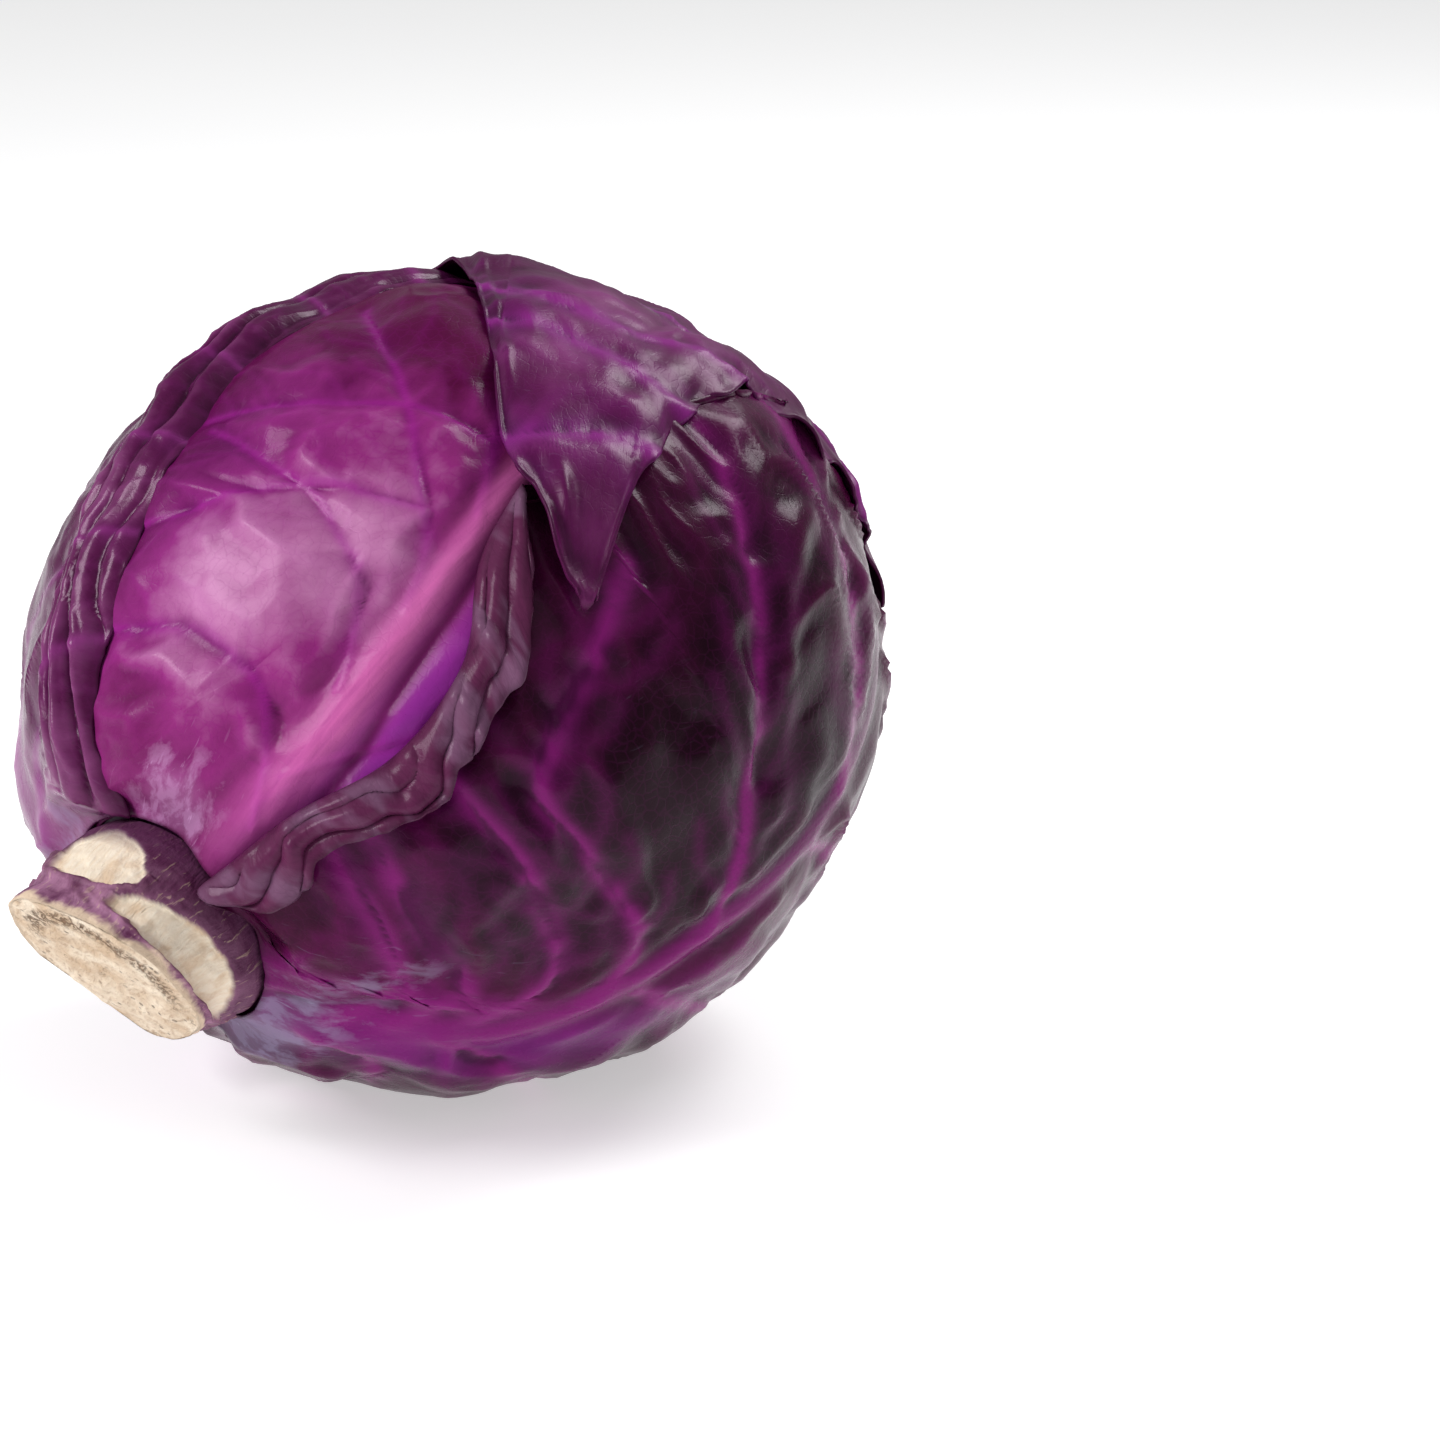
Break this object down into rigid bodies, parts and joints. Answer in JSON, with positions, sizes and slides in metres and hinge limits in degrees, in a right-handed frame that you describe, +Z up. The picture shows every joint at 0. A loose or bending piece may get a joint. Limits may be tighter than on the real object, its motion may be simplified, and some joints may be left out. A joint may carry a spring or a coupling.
{
  "type": "red cabbage",
  "caption": "Whole red cabbage head lying on its side, with a cut stem stub, a dense heart and wrapping outer leaves with ribs, pleats and a rolled-back edge.",
  "frame": {"origin": "middle of the small flat spot that the head rests on", "axes": "+Z up; the viewer of the picture looks along +Y; the stem points to the left, front and down, the crown to the right, back and up"},
  "size_m": [0.166, 0.1694, 0.1534],
  "materials": {
    "stem": "dry fibrous cut stem, tan with cream scars and purple skin",
    "heart": "smooth packed inner leaves, dark purple",
    "leaf_front": "satin magenta leaf with a pink midrib",
    "leaf_under": "satin dark purple leaf with waxy bloom",
    "leaf_lower": "satin dark maroon leaf with magenta veins and waxy bloom",
    "leaf_left": "satin purple leaf with crumpled pleats",
    "leaf_top": "satin dark magenta leaf with waxy bloom"
  },
  "bodies": {
    "root": {"stem": "stem", "heart": "heart", "leaf_front": "leaf_front", "leaf_under": "leaf_under", "leaf_lower": "leaf_lower", "leaf_left": "leaf_left", "leaf_top": "leaf_top"}
  },
  "joints": []
}
